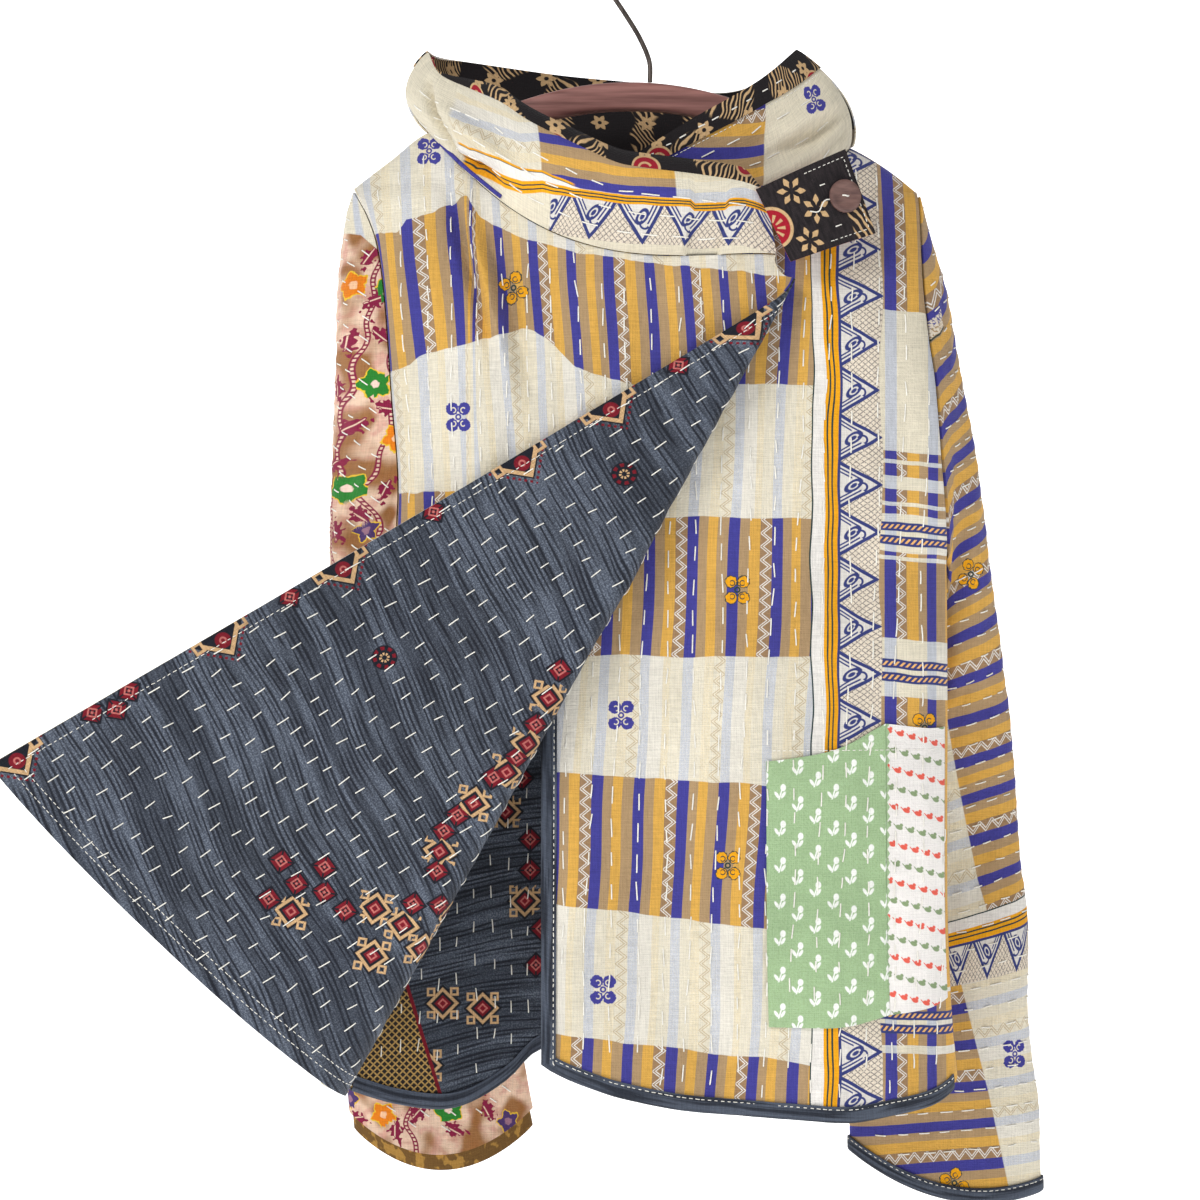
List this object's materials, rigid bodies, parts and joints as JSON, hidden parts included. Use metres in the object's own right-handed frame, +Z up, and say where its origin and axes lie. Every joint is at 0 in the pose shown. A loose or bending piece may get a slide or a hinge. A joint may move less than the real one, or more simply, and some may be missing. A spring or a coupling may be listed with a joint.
{
  "type": "patched kantha wrap jacket on a hanger",
  "caption": "Quilted patchwork wrap jacket with a funnel collar and a buttoned tab, hung on a wooden hanger with its front corner turned back.",
  "frame": {"origin": "inside of the top of the hanger's hook, where it hangs on a rail", "axes": "+Z up along the garment, -Y out of its front towards the viewer, +X towards the wearer's left side"},
  "size_m": [0.7287, 0.2485, 0.9081],
  "materials": {
    "sari_cloth": "quilted cotton",
    "slate_lining": "striped cotton",
    "slate_binding": "cotton strip",
    "green_print": "printed cotton",
    "white_print": "printed cotton",
    "floral_cloth": "printed cotton",
    "brown_cloth": "printed cotton",
    "black_print": "printed cotton",
    "red_cloth": "plain cotton",
    "button": "smooth",
    "hanger_wood": "worn varnish",
    "hook_wire": "dull wire"
  },
  "bodies": {
    "root": {"back": "sari_cloth", "back_lining": "slate_lining", "back_hem_binding": "slate_binding", "under_front": "sari_cloth", "under_front_binding": "slate_binding", "pocket_green": "green_print", "pocket_white": "white_print", "wrap_front": "sari_cloth", "wrap_front_lining": "slate_lining", "sleeve_left": "floral_cloth", "sleeve_left_facing": "brown_cloth", "sleeve_right": "sari_cloth", "sleeve_right_binding": "slate_binding", "collar_lap": "sari_cloth", "collar_back": "sari_cloth", "collar_under": "sari_cloth", "collar_facing_lap": "black_print", "collar_facing_back": "black_print", "collar_facing_under": "black_print", "tab": "black_print", "tab_underside": "red_cloth", "button": "button", "hanger_bar": "hanger_wood", "hanger_hook": "hook_wire"}
  },
  "joints": []
}
